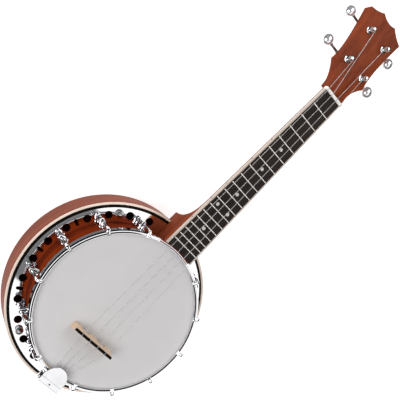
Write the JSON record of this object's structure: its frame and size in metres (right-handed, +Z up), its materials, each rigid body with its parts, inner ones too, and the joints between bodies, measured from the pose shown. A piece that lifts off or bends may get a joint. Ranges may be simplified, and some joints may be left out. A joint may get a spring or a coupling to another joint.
{
  "type": "banjo ukulele",
  "caption": "Small four-string banjo with a wooden closed resonator, pierced flange, tensioned head on bracket hooks, fretted neck and geared tuners.",
  "frame": {"origin": "centre of the flat back of the resonator, on the surface that the instrument lies on", "axes": "+X along the neck to the headstock, +Y to the bass side, +Z up out of the head"},
  "size_m": [0.6073, 0.2426, 0.1047],
  "materials": {
    "mahogany": "satin red-brown stain, open straight grain",
    "shell_wood": "glossy orange-brown maple shell",
    "maple": "satin pale maple",
    "blackwood": "near-black close-grained wood with a low sheen",
    "cream_binding": "smooth cream celluloid-like plastic",
    "black_line": "smooth black plastic",
    "coated_skin": "frosted pale grey film",
    "nut_white": "smooth off-white",
    "nylon": "clear milky nylon",
    "chrome": "polished plating"
  },
  "bodies": {
    "instrument": {"neck": "mahogany", "resonator_side": "mahogany", "resonator_back": "mahogany", "rim": "shell_wood", "fretboard": "blackwood", "bridge_top": "blackwood", "bridge": "maple", "binding_bass": "cream_binding", "binding_treble": "cream_binding", "resonator_binding": "cream_binding", "resonator_purfling": "black_line", "head": "coated_skin", "head_collar": "chrome", "nut": "nut_white", "string_1": "nylon", "tuner_plate_1": "chrome", "tuner_bushing_1": "chrome", "string_2": "nylon", "tuner_plate_2": "chrome", "tuner_bushing_2": "chrome", "string_3": "nylon", "tuner_plate_3": "chrome", "tuner_bushing_3": "chrome", "string_4": "nylon", "tuner_plate_4": "chrome", "tuner_bushing_4": "chrome", "tailpiece_bracket": "chrome", "tailpiece_pin": "chrome", "tailpiece_nut": "chrome", "tension_hoop": "chrome", "flange": "chrome", "coordinator_rod": "chrome", "bracket_hook_01": "chrome", "bracket_hook_02": "chrome", "bracket_hook_03": "chrome", "bracket_hook_04": "chrome", "bracket_hook_05": "chrome", "bracket_hook_06": "chrome", "bracket_hook_07": "chrome", "bracket_hook_08": "chrome", "bracket_hook_09": "chrome", "bracket_hook_10": "chrome", "bracket_hook_11": "chrome", "bracket_hook_12": "chrome"},
    "button_1": {"tuner_button_1": "chrome"},
    "post_1": {"tuner_post_1": "chrome"},
    "button_2": {"tuner_button_2": "chrome"},
    "post_2": {"tuner_post_2": "chrome"},
    "button_3": {"tuner_button_3": "chrome"},
    "post_3": {"tuner_post_3": "chrome"},
    "button_4": {"tuner_button_4": "chrome"},
    "post_4": {"tuner_post_4": "chrome"},
    "tailpiece_lid": {"tailpiece_cover": "chrome"},
    "screw_1": {"thumbscrew_1": "chrome"},
    "screw_2": {"thumbscrew_2": "chrome"},
    "screw_3": {"thumbscrew_3": "chrome"},
    "screw_4": {"thumbscrew_4": "chrome"}
  },
  "joints": [
    {"name": "button_1_turn", "type": "hinge", "parent": "instrument", "child": "button_1", "pos_m": [0.40565, -0.016, 0.06403], "axis": [0, -1, 0], "continuous": true},
    {"name": "post_1_turn", "type": "hinge", "parent": "instrument", "child": "post_1", "pos_m": [0.40245, -0.016, 0.083], "axis": [0.2588, 0, 0.9659], "continuous": true},
    {"name": "button_2_turn", "type": "hinge", "parent": "instrument", "child": "button_2", "pos_m": [0.45501, -0.016, 0.0508], "axis": [0, -1, 0], "continuous": true},
    {"name": "post_2_turn", "type": "hinge", "parent": "instrument", "child": "post_2", "pos_m": [0.45181, -0.016, 0.06978], "axis": [0.2588, 0, 0.9659], "continuous": true},
    {"name": "button_3_turn", "type": "hinge", "parent": "instrument", "child": "button_3", "pos_m": [0.45501, 0.016, 0.0508], "axis": [0, 1, 0], "continuous": true},
    {"name": "post_3_turn", "type": "hinge", "parent": "instrument", "child": "post_3", "pos_m": [0.45181, 0.016, 0.06978], "axis": [0.2588, 0, 0.9659], "continuous": true},
    {"name": "button_4_turn", "type": "hinge", "parent": "instrument", "child": "button_4", "pos_m": [0.40565, 0.016, 0.06403], "axis": [0, 1, 0], "continuous": true},
    {"name": "post_4_turn", "type": "hinge", "parent": "instrument", "child": "post_4", "pos_m": [0.40245, 0.016, 0.083], "axis": [0.2588, 0, 0.9659], "continuous": true},
    {"name": "tailpiece_hinge", "type": "hinge", "parent": "instrument", "child": "tailpiece_lid", "pos_m": [-0.11, 0, 0.0886], "axis": [0, -1, 0], "range_deg": [0, 110]},
    {"name": "thumbscrew_1_turn", "type": "hinge", "parent": "instrument", "child": "screw_1", "pos_m": [0.08321, 0.06884, 0.0512], "axis": [0, 0, 1], "continuous": true},
    {"name": "thumbscrew_2_turn", "type": "hinge", "parent": "instrument", "child": "screw_2", "pos_m": [-0.09277, 0.0553, 0.0512], "axis": [0, 0, 1], "continuous": true},
    {"name": "thumbscrew_3_turn", "type": "hinge", "parent": "instrument", "child": "screw_3", "pos_m": [0.08321, -0.06884, 0.0512], "axis": [0, 0, 1], "continuous": true},
    {"name": "thumbscrew_4_turn", "type": "hinge", "parent": "instrument", "child": "screw_4", "pos_m": [-0.09277, -0.0553, 0.0512], "axis": [0, 0, 1], "continuous": true}
  ],
  "couplings": [
    {"joint": "post_1_turn", "follows": "button_1_turn", "ratio": -0.066667},
    {"joint": "post_2_turn", "follows": "button_2_turn", "ratio": -0.066667},
    {"joint": "post_3_turn", "follows": "button_3_turn", "ratio": 0.066667},
    {"joint": "post_4_turn", "follows": "button_4_turn", "ratio": 0.066667}
  ]
}
